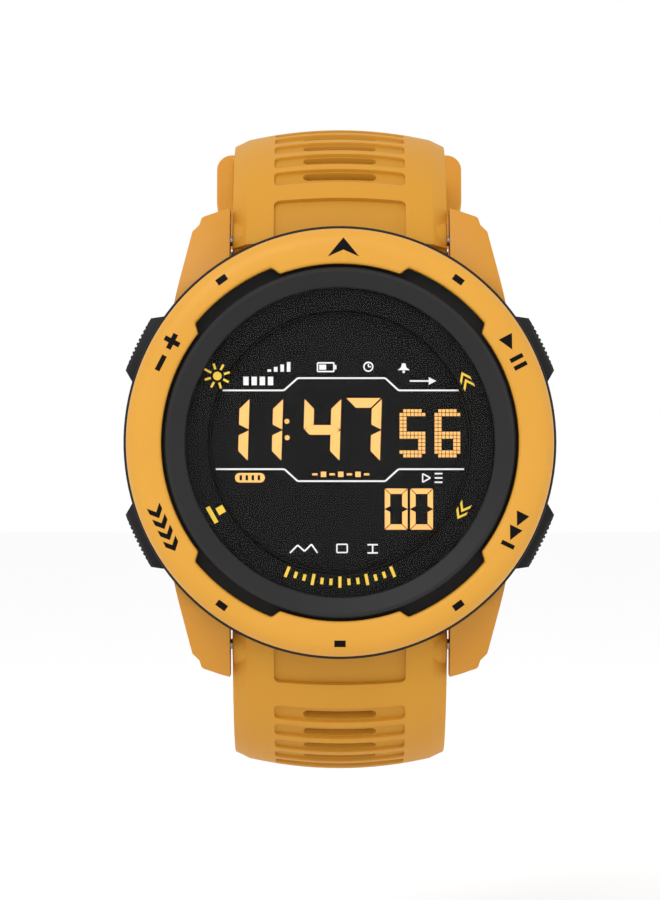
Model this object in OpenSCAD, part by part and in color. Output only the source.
// Digital sports wrist watch: a round case on a two-piece strap, open at the buckle.
// Every piece is drawn with x towards 3 o'clock, y towards 12 o'clock and z from the wrist out to the eye,
// and upright() then stands the watch up, so that its face looks along -Y and 12 o'clock points to +Z.
// The origin is the middle of the case back's wrist face.

/* [Case] */
// Radius of the case body
case_r = 24.2; // [24:0.1:25]
// Height of the case body above the wrist face
case_h = 11.4; // [11.4:0.1:14]
// Radius of the room for the movement
cavity_r = 17.4; // [17:0.1:17.6]
// Radius of the bezel
bezel_r = 24.7; // [24.3:0.1:25.5]
// Height of the bezel
bezel_h = 2.9; // [2.4:0.1:4]
// Radius of the black rim ring under the bezel
rim_r = 25.05; // [24.8:0.05:26]
// Thickness of the black rim ring
rim_h = 1.1; // [0.8:0.1:1.6]
// Width of one bezel notch, in degrees
notch_span = 31; // [20:1:40]
// Depth of one bezel notch
notch_depth = 1.0; // [0.5:0.1:1.4]

/* [Display] */
// Radius of the opening in the glass ring
sight_r = 18.0; // [17:0.1:18.4]
// Radius of the display window in the dial ring
window_r = 15.05; // [13:0.05:15.3]
// Thickness of the glass
glass_t = 1.9; // [1.2:0.1:2.2]

/* [Lugs and strap] */
// Gap between two lugs
lug_gap = 25.7; // [22:0.1:27]
// Distance from the middle of the case to a lug's tip
lug_reach = 27.4; // [26.5:0.1:30]
// Distance from the middle of the case to a spring bar
bar_y = 23.6; // [23.4:0.1:24.2]
// Height of the spring bars above the wrist face
bar_z = 5.2; // [4.8:0.1:5.6]
// Width of the strap
strap_w = 25.1; // [18:0.1:26.4]
// Thickness of the strap at the spring bar
strap_root_t = 4.6; // [4:0.1:5.5]
// Thickness of the strap's end piece at its furthest point
strap_end_t = 3.4; // [2.8:0.1:4]
// Radius of the strap's outer bend
bend_r = 24; // [20:0.5:28]
// Radius of the long curve behind the bend
back_r = 110; // [90:1:140]
// Furthest reach of the upper strap half from the middle of the case
upper_reach = 37.9; // [36:0.1:42]
// Furthest reach of the lower strap half from the middle of the case
lower_reach = 39.5; // [36:0.1:42]
// Length of the buckle half from its spring bar to the buckle pin
buckle_half_l = 75; // [65:1:85]
// Length of the long curve of the tail half
tail_curve_l = 54; // [40:1:60]
// Radius of the curve near the tail's tip
tail_r = 32; // [28:1:40]
// Width of the strap slots
slot_w = 8.6; // [6:0.1:10]
// Length of one strap slot along the strap
slot_l = 1.3; // [1:0.1:1.8]
// Distance from one slot to the next along the strap
slot_pitch = 3.35; // [3:0.05:4]
// Width of the shallow panels in the strap
panel_w = 15.4; // [12:0.1:18]

/* [Pushers] */
// Reach of the pushers from the middle of the case
pusher_reach = 26.35; // [25.8:0.05:27.5]
// Height of a pusher's middle above the wrist face
pusher_z = 6.0; // [5.6:0.1:6.6]
// Height of a pusher's cap
pusher_h = 5.6; // [4:0.1:6]
// Radius of a pusher's stem
stem_r = 1.0; // [0.8:0.05:1.2]
// Travel of a pusher
pusher_travel = 0.8; // [0.4:0.1:1]

/* [Hidden] */
$fn = 96;

eps = 0.01;
play = 0.05;          // running clearance of a shaft in its hole
seat = 0.05;          // clearance of a piece seated in another

amber = "#F2B246";
amber_soft = "#E9A43A";
ink = "#1C1C1E";
slate = "#3A3B3D";
steel = "#B8BBBE";
brass = "#C9A24A";
board_green = "#1F5B3A";

board_screw_angles = [50, 180, 310];
upper_left = 154;
lower_left = 206;
upper_right = 26;
lower_right = 334;
pusher_angles = [upper_left, lower_left, upper_right, lower_right];

// Heights of the stack, from the wrist face outwards
back_boss = 0.9;
back_flange_t = 1.2;
back_inner = back_boss + back_flange_t;
back_flange_r = 20.4;
back_boss_r = 18.2;
back_screw_angles = [45:90:315];
back_screw_at = 19.2;
back_screw_r = 0.6;
back_screw_head_r = 1.0;
back_screw_depth = 3.2;
back_gasket_r = 17.9;
back_gasket_w = 0.6;
back_gasket_t = 0.45;
bezel_z = case_h + rim_h;
bezel_top = bezel_z + bezel_h;
bezel_inner_r = 20.6;
glass_ring_r = 20.2;
glass_ring_top = bezel_top - 0.2;
glass_ring_lip = glass_ring_top - 0.9;
glass_ring_lip_t = 0.35;
notch_angles = [54, 126, 234, 306];
glass_seat = case_h + 0.5;
glass_gasket_t = 0.5;
dial_ring_z = case_h - 0.8;
dial_ring_r = sight_r + 0.35;
display_t = 1.2;
display_z = dial_ring_z - display_t - seat;
guide_t = 0.9;
guide_z = display_z - guide_t - seat;
frame_floor_t = 0.8;
frame_floor_z = guide_z - frame_floor_t - seat;
frame_r = cavity_r - 0.15;
frame_wall = 1.3;
board_t = 0.9;
board_z = frame_floor_z - board_t - seat;
board_r = 14.9;
board_screw_at = 13.4;
board_screw_r = 0.45;
strip_at = 13.2;
strip_w = 1.0;
strip_l = 9;
leaf_at = 14.4;
leaf_w = 2.4;
leaf_t = 0.25;
cell_r = 10;
cell_h = 3.2;
cell_z = board_z - cell_h - 0.25;
clip_t = 0.25;
clip_w = 3;

// Pusher fit: the pocket's floor, the cap's inner face and the stem's end, as distances from the middle
pocket_r = 22.6;
cap_inner_r = pocket_r + pusher_travel + 0.1;
counterbore_floor_r = 20.9;
spring_r = 1.75;
spring_wire = 0.3;
stem_end_r = 15.9;
seal_at = 19.0;
seal_wire_r = 0.24;
shoulder_at = 24.7;
clip_groove_r = cavity_r - 0.6;
cap_half_w = 4.35;
pocket_gap = 0.25;
cap_edge_w = 3.43;

// Strap geometry
bend_drop_upper = 12.4;
bend_drop_lower = 13.6;
crown_r = 48;
crown_half_w = 10.9;
facet_drop = 2.5;
shoulder = 0.8;
shoulder_l = 5;
band_w = strap_w - 0.6;
band_t = strap_end_t - shoulder;
knuckle_r = 2.3;
bar_r = 0.9;
bar_tip_r = 0.6;
channel_y = 20.7;
channel_top = case_h - 1.0;
bar_tube_end = lug_gap / 2 - 0.3;
bar_tip_end = lug_gap / 2 + 3.15;
pin_r = 1.0;
pin_knuckle_r = 2.2;
buckle_l = 17;
buckle_wire = 2.2;
tongue_w = 7.4;
tongue_gap = 0.3;
tongue_notch = pin_knuckle_r + 2.6;
keeper_wall = 1.1;
keeper_side = 2.2;
keeper_l = 7.5;
keeper_gap = 0.25;
keeper_inner_h = 2 * band_t + 0.6;
keeper_outer_w = 30.8;
keeper_peg_r = 1.2;
keeper_fixed_l = buckle_half_l - 13;
keeper_free_l = buckle_half_l - 27;
panel_l = 3.8;
first_slot_upper = 8;
first_slot_lower = 9.05;
slot_count = 5;
recess_near_a = 3.8;
recess_far_a = 2.0;
recess_deep = 0.5;
recess_shallow = 0.45;
panel_deep = 0.55;
hole_l = 2.2;
buckle_t = 2.4;
buckle_half_in = band_w / 2 + 0.35;
buckle_half_out = buckle_half_in + buckle_wire;

module upright() {
    rotate([90, 0, 0]) children();
}

// Turns a drawing made with x towards 12 o'clock, y away from the wrist and z across the strap
module side_on() {
    rotate([90, 0, 90]) children();
}

// Puts a drawing made along +x at one pusher
module at_pusher(angle) {
    rotate([0, 0, angle]) translate([0, 0, pusher_z]) children();
}

module rod(r, from, to) {
    translate([from, 0, 0]) rotate([0, 90, 0]) cylinder(h = to - from, r = r);
}

module tube(r_out, r_in, z_from, z_to) {
    rotate_extrude() translate([r_in, z_from]) square([r_out - r_in, z_to - z_from]);
}

// Helical wire of the given middle radius, standing on z = 0
module coil(r, wire, length, turns, per_turn = 14, sides = 6) {
    steps = turns * per_turn;
    rings = [for (i = [0:steps], j = [0:sides - 1])
        let (a = 360 * turns * i / steps, b = 360 * j / sides, rr = r + wire / 2 * cos(b))
        [rr * cos(a), rr * sin(a), wire / 2 + (length - wire) * i / steps + wire / 2 * sin(b)]];
    skin = [for (i = [0:steps - 1], j = [0:sides - 1], half = [0, 1])
        let (k = (j + 1) % sides, here = i * sides, on = (i + 1) * sides)
        half == 0 ? [here + j, on + j, on + k] : [here + j, on + k, here + k]];
    near = [[for (j = [0:sides - 1]) j]];
    far = [[for (j = [0:sides - 1]) steps * sides + sides - 1 - j]];
    polyhedron(points = rings, faces = concat(skin, near, far), convexity = 10);
}

// ---- Case -------------------------------------------------------------------------------------------------

module lug_outline() {
    inner = lug_gap / 2;
    intersection() {
        polygon([[inner, 8], [inner, lug_reach], [inner + 1.1, lug_reach - 0.3],
            [15.9, lug_reach - 1.0], [16.15, lug_reach - 1.2], [16.4, lug_reach - 2.0],
            [17.2, lug_reach - 2.8], [19.0, 17.3], [21.0, 8]]);
        circle(r = lug_reach + 6);
    }
}

// Side view of the lugs: they fall towards the wrist at their tips
module lug_profile() {
    polygon([[10, 0.6], [lug_reach - 4, 0.2], [lug_reach + 0.5, 0.9], [lug_reach + 0.5, 6.3],
        [lug_reach - 1.2, 7.6], [lug_reach - 3.6, 8.6], [19, case_h - 0.6], [10, case_h - 0.6]]);
}

module lug() {
    intersection() {
        linear_extrude(height = case_h) lug_outline();
        side_on() linear_extrude(height = case_r) lug_profile();
    }
}

module four_lugs() {
    for (mx = [0, 1], my = [0, 1]) mirror([mx, 0, 0]) mirror([0, my, 0]) lug();
}

module case_body() {
    rotate_extrude() polygon([[0, 0.6], [case_r - 2.4, 0.6], [case_r - 0.6, 2.4], [case_r, 4.5],
        [case_r, case_h - 0.6], [case_r - 0.3, case_h], [0, case_h]]);
}

module strap_channel() {
    for (m = [0, 1]) mirror([0, m, 0])
        translate([-lug_gap / 2, channel_y, -1]) cube([lug_gap, 10, channel_top + 1]);
}

module pusher_pocket() {
    translate([pocket_r, -cap_half_w - pocket_gap, -pusher_h / 2 - pocket_gap])
        cube([5, 2 * (cap_half_w + pocket_gap), pusher_h + 2 * pocket_gap]);
    rod(stem_r + play, stem_end_r - 1, case_r + 1);
    rod(spring_r + 0.15, counterbore_floor_r, case_r + 1);
    rod(stem_r + 0.55, seal_at - 0.4, seal_at + 0.4);
}

module mid_case() {
    groove_half = back_gasket_w / 2 + 0.1;
    upright() color(amber) difference() {
        union() {
            case_body();
            four_lugs();
        }
        translate([0, 0, -1]) cylinder(h = back_inner + 1, r = back_flange_r + seat);
        translate([0, 0, back_inner - eps]) cylinder(h = case_h, r = cavity_r);
        translate([0, 0, back_inner - eps])
            tube(back_gasket_r + groove_half, back_gasket_r - groove_half, 0, back_gasket_t + play);
        translate([0, 0, dial_ring_z]) cylinder(h = 5, r = dial_ring_r + seat);
        strap_channel();
        for (a = pusher_angles) at_pusher(a) pusher_pocket();
        for (a = back_screw_angles) rotate([0, 0, a]) translate([back_screw_at, 0, back_inner - eps])
            cylinder(h = back_screw_depth, r = back_screw_r + 0.1);
        at_bars() rod(bar_tip_r + play, -bar_tip_end - 0.2, bar_tip_end + 0.2);
    }
}

module rim_ring() {
    upright() color(ink) rotate_extrude()
        polygon([[glass_ring_r + seat, case_h], [rim_r - 0.25, case_h], [rim_r, case_h + 0.25],
            [rim_r, bezel_z - 0.2], [rim_r - 0.2, bezel_z], [glass_ring_r + seat, bezel_z]]);
}

// One notch in the bezel's inner edge, with slanted ends
module notch_outline() {
    half = notch_span / 2;
    slant = 6;
    deep = bezel_inner_r + notch_depth;
    shallow = bezel_inner_r - notch_depth;
    corner = deep * [cos(half), sin(half)];
    foot = shallow * [cos(half + slant), sin(half + slant)];
    beyond = corner + 2 * (corner - foot);
    intersection() {
        circle(r = deep);
        polygon([[foot.x, -foot.y], [beyond.x, -beyond.y], beyond, foot]);
    }
}

module bezel() {
    upright() color(amber) difference() {
        rotate_extrude() polygon([[bezel_inner_r, bezel_z], [bezel_r, bezel_z], [bezel_r, bezel_top - 1.5],
            [bezel_r - 0.15, bezel_top - 0.9], [bezel_r - 0.6, bezel_top - 0.45],
            [bezel_r - 1.3, bezel_top - 0.15], [bezel_r - 2.2, bezel_top],
            [bezel_inner_r + 0.25, bezel_top], [bezel_inner_r, bezel_top - 0.25]]);
        for (a = notch_angles) rotate([0, 0, a]) translate([0, 0, bezel_z - 1])
            linear_extrude(height = bezel_h + 2) notch_outline();
    }
}

module glass_ring() {
    upright() color(slate) rotate_extrude()
        polygon([[glass_ring_r, case_h], [glass_ring_r, glass_ring_top - 0.15],
            [glass_ring_r - 0.15, glass_ring_top], [glass_ring_r - 0.5, glass_ring_top],
            [sight_r, glass_ring_lip], [sight_r, glass_ring_lip - glass_ring_lip_t],
            [sight_r + 0.45, glass_ring_lip - glass_ring_lip_t], [sight_r + 0.45, case_h]]);
}

module glass() {
    upright() color([0.75, 0.8, 0.85, 0.35]) translate([0, 0, glass_seat]) rotate_extrude()
        polygon([[0, 0], [sight_r - 0.15, 0], [sight_r - 0.15, glass_t - 0.3],
            [sight_r - 0.45, glass_t], [0, glass_t]]);
}

module glass_gasket() {
    upright() color(ink) tube(sight_r + 0.4, sight_r - 0.1, glass_seat, glass_ring_lip - 0.4);
}

module dial_ring() {
    upright() color(ink) rotate_extrude()
        polygon([[window_r, dial_ring_z], [dial_ring_r, dial_ring_z], [dial_ring_r, glass_seat - seat],
            [window_r + 0.3, glass_seat - seat], [window_r, glass_seat - 0.35]]);
}

// ---- Movement ---------------------------------------------------------------------------------------------

module display_panel() {
    upright() color("#222224") translate([0, 0, display_z]) cylinder(h = display_t, r = window_r + 0.55);
}

module light_guide() {
    upright() color([0.95, 0.95, 0.92]) translate([0, 0, guide_z]) cylinder(h = guide_t, r = window_r + 0.45);
}

module strip_pair(w, l, h) {
    for (s = [-1, 1]) translate([-l / 2, s * strip_at - w / 2, 0]) cube([l, w, h]);
}

module contact_strips() {
    upright() color("#C77B6B") translate([0, 0, frame_floor_z - seat])
        strip_pair(strip_w, strip_l, frame_floor_t + 2 * seat);
}

module movement_frame() {
    foot_z = back_inner + 0.1;
    room_r = frame_r - frame_wall;
    upright() color("#D8D8D2") difference() {
        translate([0, 0, foot_z]) cylinder(h = dial_ring_z - 2 * seat - foot_z, r = frame_r);
        translate([0, 0, frame_floor_z + frame_floor_t]) cylinder(h = 9, r = room_r);
        translate([0, 0, foot_z - 1]) cylinder(h = frame_floor_z - foot_z + 1, r = room_r);
        translate([0, 0, frame_floor_z - 1])
            strip_pair(strip_w + 2 * play, strip_l + 2 * play, frame_floor_t + 2);
        for (a = pusher_angles) at_pusher(a) translate([13, -leaf_w, -2.3]) cube([6, 2 * leaf_w, 4.6]);
        for (a = board_screw_angles) rotate([0, 0, a]) translate([board_screw_at, 0, frame_floor_z - 1])
            cylinder(h = 3, r = board_screw_r + play);
    }
}

module circuit_board() {
    upright() color(board_green) difference() {
        translate([0, 0, board_z]) cylinder(h = board_t, r = board_r);
        for (a = board_screw_angles) rotate([0, 0, a]) translate([board_screw_at, 0, board_z - 1])
            cylinder(h = 3, r = board_screw_r + play);
        for (s = [-1, 1]) translate([s * (cell_r + 0.75), 0, board_z - 1])
            linear_extrude(height = 3) square([clip_t + 2 * play, clip_w + 2 * play], center = true);
    }
}

module board_screws() {
    head_t = 0.55;
    upright() color(steel) for (a = board_screw_angles) rotate([0, 0, a]) translate([board_screw_at, 0, 0]) {
        translate([0, 0, board_z - head_t]) difference() {
            cylinder(h = head_t - seat, r = board_screw_r + 0.4);
            translate([-1, -0.12, -eps]) cube([2, 0.24, 0.25]);
        }
        translate([0, 0, board_z - 0.2]) cylinder(h = board_t + frame_floor_t + 0.2, r = board_screw_r);
    }
}

module control_chip() {
    upright() color(ink) translate([cell_r + 1.2, -1.6, board_z - 1.0 - seat]) cube([2.0, 3.2, 1.0]);
}

module crystal_can() {
    upright() color(steel) rotate([0, 0, 235]) translate([12.2, -1.5, board_z - 0.7 - seat])
        rotate([-90, 0, 0]) cylinder(h = 3, r = 0.65);
}

module switch_leaves() {
    foot_l = 1.2;
    leaf_h = 1.9;
    upright() color(brass) for (a = pusher_angles) rotate([0, 0, a])
        translate([leaf_at, -leaf_w / 2, board_z - seat]) {
            translate([-foot_l, 0, -leaf_t]) cube([foot_l + leaf_t, leaf_w, leaf_t]);
            translate([0, 0, -leaf_h]) cube([leaf_t, leaf_w, leaf_h]);
        }
}

module battery_cell() {
    upright() color(steel) translate([0, 0, cell_z]) rotate_extrude()
        polygon([[0, 0], [cell_r - 1.2, 0], [cell_r - 1.0, 0.25], [cell_r - 0.2, 0.25], [cell_r, 0.5],
            [cell_r, cell_h - 0.2], [cell_r - 0.2, cell_h], [0, cell_h]]);
}

module battery_clip() {
    reach = cell_r + 0.75;
    upright() color(brass) difference() {
        union() {
            translate([-reach - clip_t / 2, -clip_w / 2, cell_z - clip_t - seat])
                cube([2 * reach + clip_t, clip_w, clip_t]);
            for (s = [-1, 1]) translate([s * reach - clip_t / 2, -clip_w / 2, cell_z - clip_t - seat])
                cube([clip_t, clip_w, board_z + board_t - cell_z + clip_t]);
        }
        translate([0, 0, cell_z - 2]) cylinder(h = 3, r = 0.8);
    }
}

module buzzer_disc() {
    upright() color(brass) translate([0, 0, back_inner + seat]) cylinder(h = 0.2, r = 8);
}

// ---- Case back --------------------------------------------------------------------------------------------

module case_back() {
    upright() color(steel) difference() {
        rotate_extrude() polygon([[0, 0], [back_boss_r - 0.6, 0], [back_boss_r, 0.35],
            [back_boss_r, back_boss], [back_flange_r, back_boss], [back_flange_r, back_inner], [0, back_inner]]);
        for (a = back_screw_angles) rotate([0, 0, a]) translate([back_screw_at, 0, back_boss - 1]) {
            cylinder(h = back_flange_t + 2, r = back_screw_r + play);
            cylinder(h = 1.5, r = back_screw_head_r + play);
        }
    }
}

module case_back_gasket() {
    half = back_gasket_w / 2;
    upright() color(ink)
        tube(back_gasket_r + half, back_gasket_r - half, back_inner + seat, back_inner + back_gasket_t);
}

module case_back_screws() {
    head_t = 0.45;
    upright() color(steel) for (a = back_screw_angles) rotate([0, 0, a])
        translate([back_screw_at, 0, back_boss]) {
        difference() {
            translate([0, 0, seat]) cylinder(h = head_t - seat, r = back_screw_head_r);
            for (t = [0, 90]) rotate([0, 0, t]) translate([-0.6, -0.12, 0]) cube([1.2, 0.24, 0.25]);
        }
        translate([0, 0, head_t - seat]) cylinder(h = back_flange_t + 2.4, r = back_screw_r);
    }
}

// ---- Pushers ----------------------------------------------------------------------------------------------

// Plan of a pusher's cap, drawn along +x
module cap_outline() {
    intersection() {
        circle(r = pusher_reach);
        polygon([[cap_inner_r, -cap_half_w], [shoulder_at, -cap_half_w],
            [pusher_reach - 0.3, -cap_edge_w], [pusher_reach + 1, -cap_edge_w],
            [pusher_reach + 1, cap_edge_w], [pusher_reach - 0.3, cap_edge_w],
            [shoulder_at, cap_half_w], [cap_inner_r, cap_half_w]]);
    }
}

module cap_ribs() {
    rib_pitch = 0.56;
    groove_w = 0.24;
    groove_deep = 0.16;
    for (i = [-5.5:1:5.5])
        translate([pusher_reach - groove_deep, i * rib_pitch - groove_w / 2, -pusher_h / 2 - 1])
            cube([1, groove_w, pusher_h + 2]);
}

module pusher(angle) {
    color(ink) at_pusher(angle) {
        difference() {
            translate([0, 0, -pusher_h / 2]) linear_extrude(height = pusher_h) cap_outline();
            cap_ribs();
            for (s = [-1, 1]) translate([pusher_reach, 0, s * pusher_h / 2]) rotate([0, 45, 0])
                cube([0.7, 12, 0.7], center = true);
        }
        difference() {
            rod(stem_r, stem_end_r, cap_inner_r + 0.5);
            rotate([0, 90, 0]) tube(stem_r + 1, stem_r - 0.3, clip_groove_r, clip_groove_r + 0.5);
        }
    }
}

module pusher_spring(angle) {
    length = cap_inner_r - counterbore_floor_r - 2 * play;
    color(steel) at_pusher(angle) translate([counterbore_floor_r + play, 0, 0]) rotate([0, 90, 0])
        coil(spring_r - spring_wire / 2, spring_wire, length, 4);
}

// Open ring that keeps a pusher's stem in the case
module pusher_clip(angle) {
    color(steel) at_pusher(angle) translate([clip_groove_r + play, 0, 0]) rotate([0, 90, 0]) difference() {
        tube(stem_r + 0.7, stem_r - 0.25, 0, 0.4);
        translate([-0.5, 0, -1]) cube([1, 3, 2]);
    }
}

module pusher_upper_left() { upright() pusher(upper_left); }
module pusher_lower_left() { upright() pusher(lower_left); }
module pusher_upper_right() { upright() pusher(upper_right); }
module pusher_lower_right() { upright() pusher(lower_right); }
module spring_upper_left() { upright() pusher_spring(upper_left); }
module spring_lower_left() { upright() pusher_spring(lower_left); }
module spring_upper_right() { upright() pusher_spring(upper_right); }
module spring_lower_right() { upright() pusher_spring(lower_right); }
module clip_upper_left() { upright() pusher_clip(upper_left); }
module clip_lower_left() { upright() pusher_clip(lower_left); }
module clip_upper_right() { upright() pusher_clip(upper_right); }
module clip_lower_right() { upright() pusher_clip(lower_right); }

module pusher_seals() {
    upright() color(ink) for (a = pusher_angles) at_pusher(a) translate([seal_at, 0, 0]) rotate([0, 90, 0])
        rotate_extrude() translate([stem_r + play + seal_wire_r + 0.01, 0]) circle(r = seal_wire_r);
}

// ---- Spring bars ------------------------------------------------------------------------------------------

module at_bars() {
    for (s = [-1, 1]) translate([0, s * bar_y, bar_z]) children();
}

module spring_bar_tubes() {
    upright() color(steel) at_bars() difference() {
        rod(bar_r, -bar_tube_end, bar_tube_end);
        rod(bar_tip_r + play, -bar_tube_end - 1, bar_tube_end + 1);
    }
}

module spring_bar_springs() {
    length = 10;
    wire = 0.2;
    upright() color(steel) at_bars() translate([-length / 2, 0, 0]) rotate([0, 90, 0])
        coil(bar_tip_r - 0.18, wire, length, 6, 8, 5);
}

module spring_bar_tips() {
    cone_l = 0.6;
    upright() color(steel) at_bars() for (m = [0, 1]) mirror([m, 0, 0]) {
        rod(bar_tip_r, 5.2, bar_tip_end - cone_l);
        translate([bar_tip_end - cone_l, 0, 0]) rotate([0, 90, 0])
            cylinder(h = cone_l, r1 = bar_tip_r, r2 = 0.3);
    }
}

// ---- Strap ------------------------------------------------------------------------------------------------

// Everything below is drawn side on: x towards the strap's own end, y away from the wrist, z across the strap.

function bend_x(reach) = reach - bend_r;
function bar_angle(reach, drop) = atan2(bar_z + drop, bar_y - bend_x(reach));
function arc_deg(length, r) = length / r * 180 / PI;
function mid_r(r) = r - strap_end_t + band_t / 2;
// Length of the bend's middle line from the spring bar to the furthest point
function bend_length(reach, drop) = bar_angle(reach, drop) * PI / 180 * mid_r(bend_r);

// Puts a drawing made about the origin at the middle of the bend
module at_bend(reach, drop) {
    translate([bend_x(reach), -drop, 0]) children();
}

// Puts a drawing made about the origin at the middle of the long curve
module at_back(reach, drop) {
    translate([reach - back_r, -drop, 0]) children();
}

module sector(r, from, to) {
    rotate_extrude(angle = to - from, start = from) translate([r, 0]) children();
}

// Cross section of the strap's end piece: its crowned outer face is at x = 0
module crowned_section(depth) {
    half = strap_w / 2;
    flat = min(crown_half_w, half - 1.2);
    steps = 10;
    polygon(concat(
        [for (i = [0:steps]) let (w = -flat + 2 * flat * i / steps) [-w * w / (2 * crown_r), w]],
        [[-facet_drop, half], [-depth, half], [-depth, -half], [-facet_drop, -half]]));
}

// Cross section of the thin band behind the end piece, crowned like it
module band_section() {
    half = band_w / 2;
    flat = min(crown_half_w, half - 1.2);
    steps = 10;
    polygon(concat(
        [for (i = [0:steps]) let (w = -flat + 2 * flat * i / steps) [-shoulder - w * w / (2 * crown_r), w]],
        [[-facet_drop, half], [-strap_end_t + 0.3, half], [-strap_end_t, half - 0.4],
            [-strap_end_t, -half + 0.4], [-strap_end_t + 0.3, -half], [-facet_drop, -half]]));
}

// A slot through the strap at the given radius and angle, with round ends
module strap_slot(r, angle, width, length) {
    rotate([0, 0, angle]) translate([r - 8, 0, 0]) rotate([0, 90, 0]) linear_extrude(height = 12)
        union() {
            square([width - length, length], center = true);
            for (s = [-1, 1]) translate([s * (width - length) / 2, 0]) circle(d = length);
        }
}

// A shallow panel sunk into the outer face of the bend, between two angles
module strap_recess(deep, from, to) {
    sector(bend_r - deep, from, to) translate([0, -panel_w / 2]) square([3, panel_w]);
}

// Crowned end piece: thick at the spring bar and thinner at the furthest point
module end_piece(reach, drop, first_slot_l) {
    bar_a = bar_angle(reach, drop);
    start_a = bar_a + 5;
    shift = (strap_root_t - strap_end_t) / (1 - cos(bar_a));
    inner_r = bend_r - strap_end_t - shift;
    pitch_a = arc_deg(slot_pitch, bend_r);
    panel_a = arc_deg(panel_l, bend_r);
    first_a = bar_a - arc_deg(first_slot_l, bend_r);
    at_bend(reach, drop) difference() {
        sector(bend_r, 0, start_a) crowned_section(strap_root_t + 2);
        translate([shift, 0, -20]) cylinder(h = 40, r = inner_r, $fn = 160);
        strap_recess(panel_deep, bar_a - panel_a, bar_a + 20);
        for (i = [0:slot_count]) let (a = first_a - i * pitch_a)
            strap_recess(i == 0 ? recess_deep : recess_shallow, a - recess_far_a, a + recess_near_a);
        for (i = [0:slot_count - 1]) strap_slot(bend_r, first_a - i * pitch_a, slot_w, slot_l);
    }
    at_back(reach, drop) sector(back_r, -arc_deg(shoulder_l, back_r), 0) crowned_section(strap_end_t);
}

module knuckle() {
    translate([bar_y, bar_z, -strap_w / 2]) cylinder(h = strap_w, r = knuckle_r);
}

module bar_hole() {
    translate([bar_y, bar_z, -20]) cylinder(h = 40, r = bar_r + play);
}

// ---- Buckle half

function upper_back_angle(along) = arc_deg(along - bend_length(upper_reach, bend_drop_upper), mid_r(back_r));
buckle_a = upper_back_angle(buckle_half_l);
keeper_fixed_a = upper_back_angle(keeper_fixed_l);
keeper_free_a = upper_back_angle(keeper_free_l);
pin_path_r = mid_r(back_r);

// Puts a drawing at a place on the long curve of the upper half: x out of the strap, y back towards the case
module on_upper_back(angle, r) {
    at_back(upper_reach, bend_drop_upper) rotate([0, 0, -angle]) translate([r, 0, 0]) children();
}

// Puts a drawing at the buckle pin
module at_pin() {
    on_upper_back(buckle_a, pin_path_r) children();
}

module strap_buckle_half() {
    upright() color(amber) side_on() difference() {
        union() {
            end_piece(upper_reach, bend_drop_upper, first_slot_upper);
            knuckle();
            at_back(upper_reach, bend_drop_upper)
                sector(back_r, -buckle_a, -arc_deg(1, back_r)) band_section();
            at_pin() translate([0, 0, -band_w / 2]) cylinder(h = band_w, r = pin_knuckle_r);
        }
        bar_hole();
        at_pin() translate([0, 0, -20]) cylinder(h = 40, r = pin_r + play);
        at_pin() translate([-5, -5, -tongue_w / 2 - tongue_gap])
            cube([10, 5 + tongue_notch, tongue_w + 2 * tongue_gap]);
        on_upper_back(keeper_fixed_a, back_r) translate([-strap_end_t - 1, 0, 0]) rotate([0, 90, 0])
            cylinder(h = 1.6, r = keeper_peg_r + play);
    }
}

// ---- Tail half

tail_curve_a = arc_deg(tail_curve_l, mid_r(back_r));
tail_sweep = 58;
tip_l = 9;
tip_r = 14;
tip_overlap = 0.8;

module on_tail(angle) {
    at_back(lower_reach, bend_drop_lower) rotate([0, 0, -tail_curve_a]) translate([back_r - tail_r, 0, 0])
        rotate([0, 0, -angle]) children();
}

// Rounded tip of the tail, flat beyond the end of its curve
module tail_tip() {
    intersection() {
        translate([tail_r, tip_overlap, 0]) rotate([90, 0, 0])
            linear_extrude(height = tip_l + tip_overlap) band_section();
        translate([tail_r - strap_end_t - 1, tip_r - tip_l, 0]) rotate([0, 90, 0])
            cylinder(h = strap_end_t + 1, r = tip_r);
    }
}

module strap_tail_half() {
    hole_pitch_a = arc_deg(slot_pitch * 2, mid_r(tail_r));
    upright() color(amber) mirror([0, 1, 0]) side_on() difference() {
        union() {
            end_piece(lower_reach, bend_drop_lower, first_slot_lower);
            knuckle();
            at_back(lower_reach, bend_drop_lower)
                sector(back_r, -tail_curve_a, -arc_deg(1, back_r)) band_section();
            on_tail(0) sector(tail_r, -tail_sweep, 1) band_section();
            on_tail(tail_sweep) tail_tip();
        }
        bar_hole();
        for (i = [0:3]) on_tail(tail_sweep - 5 - i * hole_pitch_a) strap_slot(tail_r, 0, slot_w, hole_l);
        for (i = [1:4]) at_back(lower_reach, bend_drop_lower)
            strap_slot(back_r, -tail_curve_a + i * arc_deg(slot_pitch * 2, mid_r(back_r)), slot_w, hole_l);
    }
}

// ---- Buckle

module buckle_frame() {
    corner_cut = 2.2;
    upright() color(slate) side_on() at_pin() difference() {
        union() {
            for (s = [-1, 1]) translate([0, 0, s * (buckle_half_in + buckle_wire / 2) - buckle_wire / 2]) {
                translate([-buckle_t / 2, -buckle_l, 0]) cube([buckle_t, buckle_l, buckle_wire]);
                cylinder(h = buckle_wire, r = buckle_t / 2 + 0.6);
            }
            translate([-buckle_t / 2, -buckle_l - buckle_wire, -buckle_half_out])
                cube([buckle_t, buckle_wire + eps, 2 * buckle_half_out]);
        }
        translate([0, 0, -20]) cylinder(h = 40, r = pin_r - 0.2);
        for (s = [-1, 1]) translate([-3, -buckle_l - buckle_wire, s * buckle_half_out]) rotate([0, 90, 0])
            rotate([0, 0, 45]) cube([corner_cut, corner_cut, 12], center = true);
    }
}

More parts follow.
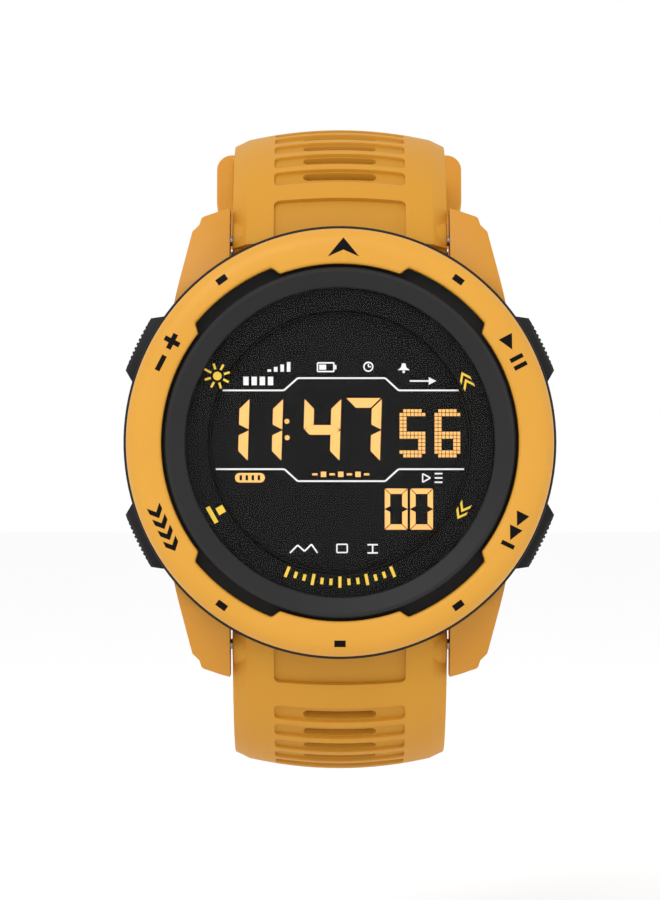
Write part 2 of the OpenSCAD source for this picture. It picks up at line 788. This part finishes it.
module buckle_pin() {
    middle = buckle_half_in - play;
    end = buckle_half_in + 1.8;
    upright() color(steel) side_on() at_pin() {
        translate([0, 0, -middle]) cylinder(h = 2 * middle, r = pin_r);
        translate([0, 0, -end]) cylinder(h = 2 * end, r = pin_r - 0.25);
    }
}

module buckle_tongue() {
    barrel_r = pin_r + 0.9;
    plate_t = 1.3;
    rest_x = buckle_t / 2 + 0.1;
    tongue_l = buckle_l + buckle_wire - 0.3;
    upright() color(slate) side_on() at_pin() translate([0, 0, -tongue_w / 2]) difference() {
        union() {
            cylinder(h = tongue_w, r = barrel_r);
            translate([rest_x, -tongue_l, 0]) cube([plate_t, tongue_l, tongue_w]);
            translate([0, -barrel_r, 0]) cube([rest_x + plate_t, barrel_r, tongue_w]);
        }
        translate([0, 0, -1]) cylinder(h = tongue_w + 2, r = pin_r + play);
    }
}

// ---- Keepers

module keeper_outline(height, w) {
    radius = 1.6;
    for (s = [-1, 1], t = [-1, 1])
        translate([s * (height / 2 - radius), t * (w / 2 - radius)]) circle(r = radius);
    square([height - 2 * radius, w], center = true);
    square([height, w - 2 * radius], center = true);
}

// Loop round the strap; offset is the middle of the loop measured out from the strap's outer face
module keeper(offset) {
    translate([offset, keeper_l / 2, 0]) rotate([90, 0, 0]) linear_extrude(height = keeper_l) difference() {
        keeper_outline(keeper_inner_h + 2 * keeper_wall, keeper_outer_w);
        square([keeper_inner_h, keeper_outer_w - 2 * keeper_side], center = true);
    }
}

module keeper_fixed() {
    inner_face = -strap_end_t - keeper_gap;
    upright() color(amber_soft) side_on() on_upper_back(keeper_fixed_a, back_r) {
        keeper(inner_face + keeper_inner_h / 2);
        translate([inner_face - keeper_wall / 2, 0, 0]) rotate([0, 90, 0])
            cylinder(h = keeper_gap + keeper_wall / 2 + 0.5, r = keeper_peg_r);
    }
}

module keeper_free() {
    outer_face = -shoulder + keeper_gap;
    upright() color(amber_soft) side_on() on_upper_back(keeper_free_a, back_r)
        keeper(outer_face - keeper_inner_h / 2);
}

mid_case();
rim_ring();
bezel();
glass_ring();
glass();
glass_gasket();
dial_ring();
display_panel();
light_guide();
contact_strips();
movement_frame();
circuit_board();
board_screws();
control_chip();
crystal_can();
switch_leaves();
battery_cell();
battery_clip();
buzzer_disc();
case_back();
case_back_gasket();
case_back_screws();
pusher_upper_left();
pusher_lower_left();
pusher_upper_right();
pusher_lower_right();
spring_upper_left();
spring_lower_left();
spring_upper_right();
spring_lower_right();
clip_upper_left();
clip_lower_left();
clip_upper_right();
clip_lower_right();
pusher_seals();
spring_bar_tubes();
spring_bar_springs();
spring_bar_tips();
strap_buckle_half();
strap_tail_half();
buckle_frame();
buckle_pin();
buckle_tongue();
keeper_fixed();
keeper_free();
